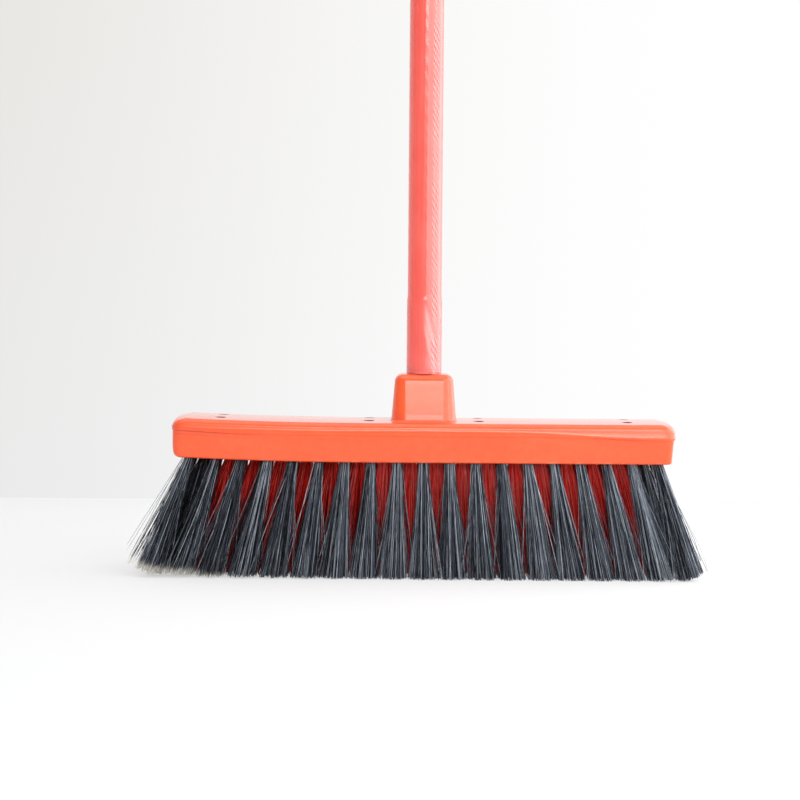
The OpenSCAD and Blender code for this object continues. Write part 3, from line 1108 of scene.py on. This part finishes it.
    def bore(self, edge: Array) -> Iterable[Array]:
        """Rings from the rim's inner edge to the mouth, down the thread and over the bore's floor.

        Args:
            edge: The rim's last ring.

        Returns:
            The rings in order.
        """
        thread = ThreadForm(self.tip_low + self.thread_lift, self.thread_turns)
        angle = np.arctan2(edge[:, 1], edge[:, 0])
        circle = np.column_stack([np.cos(angle), np.sin(angle)])
        for t in (0.5, 1.0):
            yield raised(edge[:, :2] * (1 - t) + circle * self.mouth_r * t, edge[:, 2] - 0.03 * MM * t)
        for z in np.arange(self.rim - self.mouth_chamfer, self.bore_floor, -self.bore_step):
            groove = thread.ridge(angle, z, self.groove_foot, self.groove_crest, self.groove_r - self.bore_r)
            yield raised(circle * (self.bore_r + groove)[:, None], z)
        for r in (self.bore_r, self.bore_r / 2, 0.4 * MM):
            yield raised(circle * r, self.bore_floor)

    def socket(self, work: Patchwork) -> None:
        """Adds the socket: a fillet, tapered walls, a round rim, and a threaded bore with a floor."""
        rings = [*self.socket_sides(), *self.socket_rim()]
        work.add_rings([*rings, *self.bore(rings[-1])], self.socket_points[1] // 2)

    def build(self) -> None:
        """Builds the head and stands it in for its CAD node."""
        work = Patchwork()
        self.shell(work)
        self.socket(work)
        piece = work.build("head_moulding", self.finish.material(), crease=35.0)
        settle(piece, "head", ["head_block"])


# ---------------------------------------------------------------- bristles


@dataclass
class Tufts:
    """Bundles of filaments that leave their holes tight and fray out towards the floor."""

    plan: TuftPlan
    head: Head
    strands: tuple[int, ...] = (320, 220, 220, 170)
    strand_r: float = 0.21 * MM
    sides: int = 3
    stations: int = 8
    crowding: float = 1.5
    sunk: float = 2.0 * MM
    flare: float = 1.22
    red_flare: float = 0.6
    overlap: float = 1.08
    clumps: int = 24
    clump_pull: float = 0.34
    wild_share: float = 0.08
    splay: float = 5.4 * MM
    splay_reach: float = 3.0
    end_lift: float = 6.5 * MM
    end_lift_reach: float = 0.8
    worn_lift: tuple[float, float] = (0.9 * MM, 3.2 * MM)
    loose_ends: float = 2.0 * MM
    # Painted light and shade on the strand tones: per row, the power in the middle and how much more at the
    # left and right ends.
    shading_powers: tuple[Triple, ...] = ((0.8, 1.2, 0.0), (0.3, 3.4, 0.6), (1.3, 3.4, 0.6), (0.8, 1.2, 0.0))
    shading_reach: tuple[float, float] = (0.28, 0.3)
    stray_count: int = 8
    stray_out: tuple[float, float] = (31.0, 9.3)
    stray_y: tuple[float, float] = (-30.0, 5.0)
    stray_drop: tuple[float, float] = (4.0, 17.0)
    stray_tone_power: float = 0.6

    def __post_init__(self) -> None:
        """Takes how far the strands may reach from the frame."""
        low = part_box("front_tuft_1")[0]
        self.reach_x, self.reach_y = self.loose_ends - low.x, -low.y - self.strand_r

    def looseness(self, row: int, n: int) -> float:
        """How worn a tuft is: 1 at the left end, falling to 0 a few tufts along."""
        return math.exp(-((n + 0.5 * (row % 2)) / self.splay_reach) ** 2)

    def shading_power(self, row: int, n: int) -> float:
        """The power on a tuft's strand tones: painted shade where it darkens them, painted light where it is
        below 1.

        Each row's shading powers are its power in the middle and how much more the left and right ends have,
        so the ends are painted darker as shade.

        Args:
            row: The tuft's row.
            n: Its number in the row.

        Returns:
            The power, which falls from each end as exp(-(distance / reach)^2).
        """
        along = (n + 0.5 * (row % 2)) / (self.plan.front_count - 1)
        middle, left, right = self.shading_powers[row]
        left_reach, right_reach = self.shading_reach
        return (middle + left * math.exp(-(along / left_reach) ** 2)
                + right * math.exp(-((1.0 - along) / right_reach) ** 2))

    def sweep(self) -> Array:
        """How far along each station stands, from 0 to 1, closer together near the head."""
        return np.linspace(0.0, 1.0, self.stations)[None, :, None] ** self.crowding

    def tips(self, turn: Array, share: Array, loose: float, red: bool,
             draw: np.random.Generator) -> tuple[Array, Array]:
        """Where one tuft's strands end.

        Strand k ends at nearly the share of the tip circle that it has of the hole, drawn a little
        way to the nearest clump. A few wild strands end anywhere, in red tufts further forward.

        Args:
            turn: The strands' directions, in radians.
            share: Their places between the middle and the edge of the hole, from 0 to 1.
            loose: How worn the tuft is, from 0 to 1.
            red: Whether it is a red tuft.
            draw: Random generator.

        Returns:
            The (N, 2) ends as shares of the tip circle's radius, and which strands are wild.
        """
        count = len(turn)
        spread = np.minimum(share + draw.normal(0.0, 0.08, count), 1.0)
        swing = turn + draw.normal(0.0, 0.25 + 0.3 * loose, count)
        tip = spread[:, None] * np.column_stack([np.cos(swing), np.sin(swing)])
        middle = draw.uniform(-1.0, 1.0, (self.clumps, 2))
        nearest = np.linalg.norm(tip[:, None] - middle[None], axis=-1).argmin(1)
        tip = tip + (middle[nearest] - tip) * self.clump_pull * draw.uniform(0.2, 1.0, (count, 1))
        tip *= np.minimum(1.0, 1.0 / np.maximum(np.linalg.norm(tip, axis=1), 1e-9))[:, None]
        wild = draw.random(count) < self.wild_share * (1.0 + 1.2 * loose)
        tip[wild] = draw.uniform(-1.0, 1.0, (wild.sum(), 2)) * (1.7, 1.0)
        if red:
            tip[wild, 1] -= draw.random(wild.sum()) * 1.3
        return tip, wild

    def lifts(self, row: int, n: int, outward: Array, draw: np.random.Generator) -> Array:
        """How high one tuft's strands end over the floor.

        Args:
            row: The tuft's row.
            n: Its number in the row.
            outward: How far each strand ends towards the head's nearer end, from -1 to 1.
            draw: Random generator.

        Returns:
            The heights: more in worn tufts, and in each row's last tufts for strands that end outwards.
        """
        count, loose = len(outward), self.looseness(row, n)
        ends = np.abs(draw.normal(0.0, 0.25 * MM, count)) + 0.1 * MM
        lifted = loose ** 0.5 if row == 0 else 0.35 * loose
        least, more = self.worn_lift
        ends = ends + lifted * (draw.random(count) ** 2 * more + least)
        last = math.exp(-(min(n, self.plan.count(row) - 1 - n) / self.end_lift_reach) ** 2)
        return ends + last * self.end_lift * np.clip(outward * 0.5 + 0.35, 0.0, 1.0) ** 1.5

    def strand_paths(self, row: int, n: int, draw: np.random.Generator) -> Array:
        """Middle lines of one tuft's strands.

        Strand k starts at radius sqrt((k + 1/2) / N) of the hole, turned by k golden angles. On the
        way to its tip, the offset from the tuft's axis grows as s + (s' - s) t^flare, with a slight
        bow. Worn tufts at the left end splay outwards.

        Args:
            row: The tuft's row.
            n: Its number in the row.
            draw: Random generator.

        Returns:
            An (N, stations, 3) array of places from hole to tip.
        """
        count, last, loose = self.strands[row], self.plan.count(row) - 1, self.looseness(row, n)
        red = row in (1, 2) and 0 < n < last
        k = np.arange(count)
        share = np.sqrt((k + 0.5) / count)
        turn = k * math.pi * (3.0 - math.sqrt(5.0))
        root = share[:, None] * np.column_stack([np.cos(turn), np.sin(turn)]) * (self.plan.hole_r - 0.25 * MM)
        tip, wild = self.tips(turn, share, loose, red, draw)
        outward = tip[:, 0] * np.sign(n - last / 2)
        tip *= (self.plan.tip_r - 0.3 * MM) * self.overlap
        tip[:, 0] -= self.splay * loose * (0.75 + 0.25 * draw.random(count))
        t = self.sweep()
        tight = min(1.0, 2.0 * loose) * 0.5
        grown = np.where(wild, 1.0, self.red_flare + tight if red else self.flare)[:, None, None]
        offset = root[:, None] + (tip - root)[:, None] * t ** grown
        bow = draw.normal(0.0, 0.42 * MM, (count, 1, 2)) * (1.0 + 0.6 * loose) * np.sin(np.pi * t)
        ends = self.lifts(row, n, outward, draw)
        mouth = self.plan.mouth(row, n)
        top = mouth[2] + self.sunk + self.head.bend(mouth[0])
        z = top + (ends[:, None, None] - top) * t
        side = mouth[:2] + self.plan.drift(row, n) * (mouth[2] - z) + offset + bow
        side[..., 0] = np.clip(side[..., 0], -self.reach_x - self.splay, self.reach_x)
        side[..., 1] = np.clip(side[..., 1], -self.reach_y, self.reach_y)
        return np.concatenate([side, z], -1)

    def strays(self, draw: np.random.Generator) -> Array:
        """Middle lines of a few long hairs that stand off the left end in an open fan.

        The reach and the drop grow from hair to hair: stray_out and stray_drop are the least and how
        much more the last hair has, and stray_y is the range across, all in millimetres.

        Args:
            draw: Random generator.

        Returns:
            An (N, stations, 3) array of places from hole to tip.
        """
        count = self.stray_count
        mouth = self.plan.mouth(0, 0)
        root = mouth[:2] + draw.uniform(-0.9, -0.2, (count, 2)) * self.plan.hole_r
        run = np.linspace(0.0, 1.0, count)
        out = (self.stray_out[0] + self.stray_out[1] * run) * MM
        far = np.column_stack([mouth[0] - out, draw.uniform(*self.stray_y, count) * MM])
        drop = (self.stray_drop[0] + self.stray_drop[1] * run * draw.uniform(0.75, 1.0, count)) * MM
        t = self.sweep()
        side = root[:, None] + (far - root)[:, None] * t
        side = side + draw.normal(0.0, 0.3 * MM, (count, 1, 2)) * np.sin(np.pi * t)
        top = mouth[2] + self.sunk + self.head.bend(mouth[0])
        z = top + (drop[:, None, None] - top) * t
        return np.concatenate([side, z], -1)

    def strand_tubes(self, paths: Array, work: Patchwork, draw: np.random.Generator, fray: float,
                     shading_power: float) -> None:
        """Sweeps a small polygon along each path, closed at both ends.

        Args:
            paths: (N, stations, 3) middle lines.
            work: Where the tubes go.
            draw: Random generator.
            fray: How pale the tips are, from 0 to 1.
            shading_power: The power on the strands' tones, which paints light where it is below 1 and shade
                where it is above 1.
        """
        count, stations = paths.shape[:2]
        spin = draw.uniform(0.0, 2 * np.pi, count)[:, None] + np.arange(self.sides) * 2 * np.pi / self.sides
        ring = np.stack([np.cos(spin), np.sin(spin), np.zeros_like(spin)], -1)
        taper = np.linspace(1.0, 0.78, stations)[None, :, None, None]
        points = paths[:, :, None, :] + ring[:, None] * self.strand_r * taper
        per = stations * self.sides
        quads = grid_quads(stations, self.sides)[:, ::-1]
        first = np.arange(count)[:, None, None] * per
        top = np.arange(self.sides)
        end = top + (stations - 1) * self.sides
        tris = np.stack([top, end[::-1]])
        # Each strand's tone, raised to the power that paints light and shade on the tuft.
        tone = draw.uniform(0.0, 1.0, count) ** shading_power
        uv = np.empty((count, stations, self.sides, 2))
        uv[..., 0] = tone[:, None, None]
        uv[..., 1] = self.sweep()[..., 0][..., None] * (0.92 + 0.08 * fray)
        work.add(points, first + quads[None], first + tris[None], uv)

    def build(self) -> None:
        """Builds each tuft node's filaments."""
        finishes = {shade: shade.value.material() for shade in BristleShade}
        for node, shade, tufts in self.plan.nodes():
            work = Patchwork()
            for row, n in tufts:
                draw = rng(2, row, n)
                paths = self.strand_paths(row, n, draw)
                self.strand_tubes(paths, work, draw, self.looseness(row, n) ** 2, self.shading_power(row, n))
            if node == "front_tuft_1":
                draw = rng(4)
                self.strand_tubes(self.strays(draw), work, draw, 1.0, self.stray_tone_power)
            piece = work.build(node + "_filaments", finishes[shade], crease=180.0)
            settle(piece, "head", [node])


# ---------------------------------------------------------------- stick


@dataclass
class Stick:
    """The film, tip, cap and wooden core of the stick."""

    collar_h: float = 3.0 * MM
    film_t: float = 0.4 * MM
    cuff_l: float = 47.0 * MM
    cuff_t: float = 0.4 * MM
    root_r: float = 9.0 * MM
    crest_r: float = 10.5 * MM
    stub_r: float = 7.05 * MM
    tip_floor: float = 2.5 * MM
    thread_lift: float = 1.3 * MM
    thread_turns: float = 5.5
    thread_foot: float = 1.17 * MM
    thread_crest: float = 0.7 * MM
    lip: float = 0.33 * MM
    fine_h: float = 0.32
    fine_step: float = 1.1 * MM
    coarse_step: float = 1.7 * MM
    wrinkle_pitch: float = 10.6 * MM
    wrinkle_slope: float = 1.4
    fold_depth: float = 0.06 * MM
    weld_angle: float = 304.0

    def __post_init__(self) -> None:
        """Takes the levels from the frame."""
        low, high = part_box("plastic_film")
        self.film_low, self.film_high = low.z, high.z
        self.film_r = high.x - self.cuff_t
        self.tip_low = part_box("screw_tip")[0].z
        self.collar_z = self.film_low - self.collar_h

    def film(self) -> None:
        """Builds the film as a closed wall of revolution with spiral folds.

        The outer radius is r - depth (1 + cos 2 pi p) / 2, where p = (z + slope * distance round the
        stick) / pitch plus slow noise. The slope is rounded so that the folds meet all round, and the
        lower end is drawn over the tip's collar. Rings are closer together over the lowest fine_h.
        """
        cols = 88
        back = np.pi / 2
        angle = back + np.linspace(0.0, 2 * np.pi, cols, endpoint=False)[None, :]
        low = self.collar_z - self.lip
        near = np.arange(low, low + self.fine_h, self.fine_step)
        far = np.arange(near[-1] + self.coarse_step, self.film_high - 0.5 * MM, self.coarse_step)
        z = np.concatenate([near, far, [self.film_high]])[:, None]
        round_stick = 2 * np.pi * self.film_r
        starts = round(round_stick * self.wrinkle_slope / self.wrinkle_pitch)
        draw = rng(3)
        slow = sum(draw.uniform(0.3, 1.0) * np.sin(angle * draw.integers(1, 4) + z * draw.uniform(40, 190)
                                                   + draw.uniform(0, 6)) for _ in range(7)) / 7
        phase = starts * angle / (2 * np.pi) + z / self.wrinkle_pitch + 0.5 * slow
        cuff = self.cuff_t * (1.0 - smooth(self.cuff_l - 4 * MM, self.cuff_l, z - self.film_low))
        fold = self.fold_depth * (0.5 + 0.5 * np.cos(2 * np.pi * phase)) * (0.7 + 0.6 * slow)
        rim = 0.18 * MM * (1.0 - smooth(0.0, 1.2 * MM, z - low))
        outer = self.film_r + cuff - np.clip(fold, 0.0, self.fold_depth) - rim
        bore_z = np.array([self.film_high, self.film_low + 0.4 * MM, self.film_low, low])[:, None]
        bore_r = np.array([self.film_r - self.film_t] * 2 + [self.film_r + 0.02 * MM] * 2)[:, None]
        r = np.concatenate([outer, np.broadcast_to(bore_r, (4, cols))])
        height = np.broadcast_to(np.concatenate([z, bore_z]), r.shape)
        turn = np.broadcast_to(angle, r.shape)
        points = np.stack([r * np.cos(turn), r * np.sin(turn), height], -1)
        seam = np.concatenate([points, points[:, :1]], 1)
        around = np.broadcast_to(np.linspace(0.0, round_stick, cols + 1), seam.shape[:2])
        uv = np.stack([around, np.broadcast_to(height[:, :1], seam.shape[:2])], -1)
        work = Patchwork()
        work.add(seam, grid_quads(len(r), cols + 1, loop_rows=True, loop_cols=False), uv=uv)
        film = ShrunkFilm((math.radians(self.weld_angle) - back) * self.film_r, low)
        piece = work.build("film_sleeve", film.material(), crease=50.0)
        settle(piece, "stick", ["plastic_film"])

    def tip(self) -> None:
        """Builds the screw tip: a cup with a helical ridge, a collar and a bore for the wood."""
        angle = np.linspace(0.0, 2 * np.pi, 120, endpoint=False)
        circle = np.column_stack([np.cos(angle), np.sin(angle)])
        thread = ThreadForm(self.tip_low + self.thread_lift, self.thread_turns)
        edge, rise = 0.5 * MM, self.crest_r - self.root_r
        low, collar, top, floor = self.tip_low, self.film_r, self.film_low, self.tip_low + self.tip_floor
        profile = [(0.05 * MM, low), (self.root_r - edge, low), (self.root_r, low + edge)]
        profile += [(self.root_r + thread.ridge(angle, z, self.thread_foot, self.thread_crest, rise), z)
                    for z in np.arange(low + 2 * edge, self.collar_z - 0.2 * MM, 0.3 * MM)]
        profile += [(self.root_r, self.collar_z), (collar - edge, self.collar_z),
                    (collar, self.collar_z + edge), (collar, top - edge), (collar - edge, top),
                    (self.stub_r + edge, top), (self.stub_r, top - edge), (self.stub_r, floor),
                    (0.05 * MM, floor)]
        work = Patchwork()
        work.add_rings([raised(circle * np.broadcast_to(r, len(angle))[:, None], z) for r, z in profile])
        plastic = MouldedPlastic("tip_plastic", (0.62, 0.05, 0.025), (0.68, 0.08, 0.04),
                                 roughness=0.42, coat=0.1, speck=0.2)
        piece = work.build("threaded_tip", plastic.material(), crease=35.0)
        settle(piece, "stick", ["screw_tip"])

    def build(self) -> None:
        """Builds the film and tip and finishes the CAD nodes that stay."""
        self.film()
        self.tip()
        plastic = MouldedPlastic("cap_plastic", (0.80, 0.06, 0.03), (0.86, 0.10, 0.05),
                                 roughness=0.28, coat=0.3, speck=0.2)
        cap = rounded("hanging_cap", "moulded_cap", 0.55 * MM)
        cap.data.materials.append(plastic.material())
        settle(cap, "stick", ["hanging_cap"])
        dress("wooden_stick", TurnedWood().material())
        wire = DrawnWire().material()
        for row in range(1, 5):
            dress(f"staples_row_{row}", wire)


def rounded(node: str, name: str, radius: float) -> bpy.types.Object:
    """A welded copy of a CAD node whose crisp edges are rounded.

    Its points and faces are sorted by z, then y, then x, so that every run gives the same mesh.

    Args:
        node: The CAD node.
        name: The copy's name.
        radius: How wide the rounding is.

    Returns:
        The copy; the caller gives it its finish.
    """
    form = bmesh.new()
    form.from_mesh(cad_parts[node].data)
    bmesh.ops.remove_doubles(form, verts=form.verts, dist=0.01 * MM)
    bmesh.ops.dissolve_limit(form, angle_limit=math.radians(1.0), verts=form.verts, edges=form.edges)
    crisp = [edge for edge in form.edges if edge.is_manifold and edge.calc_face_angle() > math.radians(30.0)]
    bmesh.ops.bevel(form, geom=crisp, offset=radius, segments=3, profile=0.5, affect="EDGES",
                    clamp_overlap=True)
    bmesh.ops.triangulate(form, faces=form.faces)
    bmesh.ops.recalc_face_normals(form, faces=form.faces)
    order = Vector((1.0, 1e3, 1e6))
    form.verts.sort(key=lambda vert: vert.co.dot(order))
    form.faces.sort(key=lambda face: face.calc_center_median().dot(order))
    mesh = bpy.data.meshes.new(name)
    form.to_mesh(mesh)
    form.free()
    mesh.polygons.foreach_set("use_smooth", [True] * len(mesh.polygons))
    mesh.set_sharp_from_angle(angle=math.radians(35.0))
    return placed(name, mesh)


def dress(node: str, material: bpy.types.Material) -> None:
    """Gives a CAD node that stays its finish, and reports it.

    Args:
        node: The CAD node.
        material: Its finish.
    """
    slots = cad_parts[node].data.materials
    slots.clear()
    slots.append(material)
    LOG.info("%s: CAD node with %s", node, material.name)


# ---------------------------------------------------------------- studio


@dataclass(frozen=True)
class Softbox:
    """An even rectangular lamp that faces a point."""

    name: str
    place: Triple
    aim: Triple
    size: tuple[float, float]
    level: float
    colour: Colour = (1.0, 1.0, 1.0)

    def build(self) -> None:
        """Makes the lamp; its level is the brightness of its face."""
        lamp = bpy.data.lights.new(self.name, "AREA")
        lamp.shape = "RECTANGLE"
        lamp.size, lamp.size_y = self.size
        lamp.energy = self.level * math.pi * self.size[0] * self.size[1]
        lamp.color = self.colour
        holder = placed(self.name, lamp)
        holder.location = self.place
        toward = Vector(self.aim) - Vector(self.place)
        holder.rotation_euler = toward.to_track_quat("-Z", "Y").to_euler()
        holder.visible_camera = False


@dataclass
class Studio:
    """Pale floor and wall, soft lamps and the camera."""

    wall_y: float = 0.404
    width: float = 7.0
    near_r: float = 0.5
    far_r: float = 0.8
    camera_place: Triple = (-15.3 * MM, -1.35, 199.9 * MM)
    camera_dip: float = 3.755
    camera_roll: float = 0.45
    lens: float = 94.36
    ambient: float = 0.50
    far_off: float = 0.87
    lamps: tuple[Softbox, ...] = (
        Softbox("window_near", (0.62, -1.12, 0.80), (-0.301, -0.73, 0.80), (1.6, 1.5), 1.95,
                (0.96, 0.98, 1.0)),
        Softbox("window_far", (0.95, -0.12, 0.60), (0.01, -0.457, 0.60), (1.1, 1.2), 2.3,
                (0.91, 0.95, 1.0)),
        Softbox("window_back", (0.585, 0.395, 0.60), (0.585, -1.0, 0.60), (0.36, 1.2), 1.15,
                (0.93, 0.96, 1.0)),
        Softbox("front_panel", (0.10, -2.20, 0.88), (0.0, 0.0, 0.10), (0.75, 0.62), 5.4),
        Softbox("ceiling", (-0.30, -0.40, 2.10), (-0.25, -0.40, 0.0), (2.4, 2.2), 1.2),
    )

    def seen_white(self, name: str, lit: Colour, low: float, spread: float, warmth: float,
                   share: float) -> bpy.types.Material:
        """A matt white that cameras and mirrors see partly as a level of its own, painted darker towards the
        left as shade.

        Args:
            name: The material's name.
            lit: Its colour for light that falls on it.
            low: Level seen at the far left.
            spread: How far to the left of the middle the level reaches its lowest.
            warmth: How much the left side warms with height.
            share: Share of the seen colour that is the plain level near the broom; far off it is all.

        Returns:
            The material.
        """
        s = Shader(name)
        x, y, height = s.split(s.place())
        # Painted shade: the seen level falls towards the left, away from the lamps on the right.
        cool = (low, low, low * 0.997)
        warm = (low * (1 - 0.3 * warmth), low * (1 - 0.55 * warmth), low * (1 - warmth))
        left = s.mixed(height.step(0.0, 0.5), cool, warm)
        ramp = s.mixed(x.step(-spread, 0.5 * spread), left, (1.0, 1.0, 1.0))
        glow = s.node("Emission", inputs={"Color": ramp, "Strength": 1.0})
        tooth = s.noise(s.place(), 40.0, 3.0)
        matt = s.node("BsdfPrincipled", inputs={"Base Color": lit, "Roughness": 0.75 + tooth * 0.1,
                                               "Specular IOR Level": 0.2})
        path = [s.node("LightPath", output=f"Is {kind} Ray") for kind in ("Camera", "Glossy", "Transmission")]
        far = ((x * x + y * y) ** 0.5).step(self.near_r, self.far_r)
        away = (far + y.step(0.95 * self.wall_y, self.wall_y)).step(0.0, 1.0)
        seen = (path[0] + path[1] + path[2]).step(0.0, 1.0) * (away * (1.0 - share) + share)
        sheet = s.node("MixShader", inputs={0: seen, 1: matt, 2: glow})
        behind = s.node("NewGeometry", output="Backfacing") * path[0]
        return s.finish(s.node("MixShader", inputs={0: behind, 1: sheet, 2: s.node("BsdfTransparent")}))

    def plane(self, name: str, corners: Sequence[Triple], material: bpy.types.Material) -> None:
        """A flat stage sheet with these four corners.

        Args:
            name: The sheet's name.
            corners: Its corners, turning left seen from its front.
            material: Its finish.
        """
        work = Patchwork()
        work.add(np.array(corners), np.array([[0, 1, 2, 3]]))
        work.build(name, material)

    def build(self) -> None:
        """Makes the stage, the lamps and the camera."""
        w, y = self.width / 2, self.wall_y
        floor = self.seen_white("floor_white", (0.775, 0.775, 0.775), 0.895, 0.4, 0.0, 0.55)
        wall = self.seen_white("wall_white", (0.86, 0.86, 0.855), 0.81, 0.5, 0.08, 1.0)
        self.plane("floor", [(-w, -w, 0), (w, -w, 0), (w, w, 0), (-w, w, 0)], floor)
        self.plane("backdrop", [(-w, y, 0), (w, y, 0), (w, y, w), (-w, y, w)], wall)
        for lamp in self.lamps:
            lamp.build()
        self.room()
        self.camera()
        bpy.context.scene.view_settings.view_transform = "Standard"

    def room(self) -> None:
        """Makes the world: an even light that the camera sees at a level of its own."""
        s = Shader("room", world=True)
        light, seen = (s.node("Background", inputs={"Color": (level,) * 3})
                       for level in (self.ambient, self.far_off))
        seen_by_camera = s.node("LightPath", output="Is Camera Ray")
        bpy.context.scene.world = s.finish(s.node("MixShader", inputs={0: seen_by_camera, 1: light, 2: seen}))

    def camera(self) -> None:
        """Makes the camera, dipped towards the broom and rolled a little."""
        lens = bpy.data.cameras.new("camera")
        lens.lens = self.lens
        lens.sensor_width = 36.0
        camera = placed("camera", lens)
        camera.location = self.camera_place
        look = Euler((math.radians(90.0 - self.camera_dip), 0.0, 0.0)).to_matrix()
        turn = Matrix.Rotation(math.radians(self.camera_roll), 3, "Z")
        camera.rotation_euler = (look @ turn).to_euler()
        bpy.context.scene.camera = camera


def main() -> None:
    """Builds the stage and the broom."""
    logging.basicConfig(level=logging.INFO, format="%(name)s %(message)s")
    Studio().build()
    plan = TuftPlan()
    plastic = HeadPlastic("head_plastic", (0.86, 0.082, 0.008), (0.89, 0.10, 0.016), roughness=0.25,
                          coat=1.0, underside=plan.underside)
    head = Head(plan, plastic)
    head.build()
    Tufts(plan, head).build()
    Stick().build()


if __name__ == "__main__":
    main()
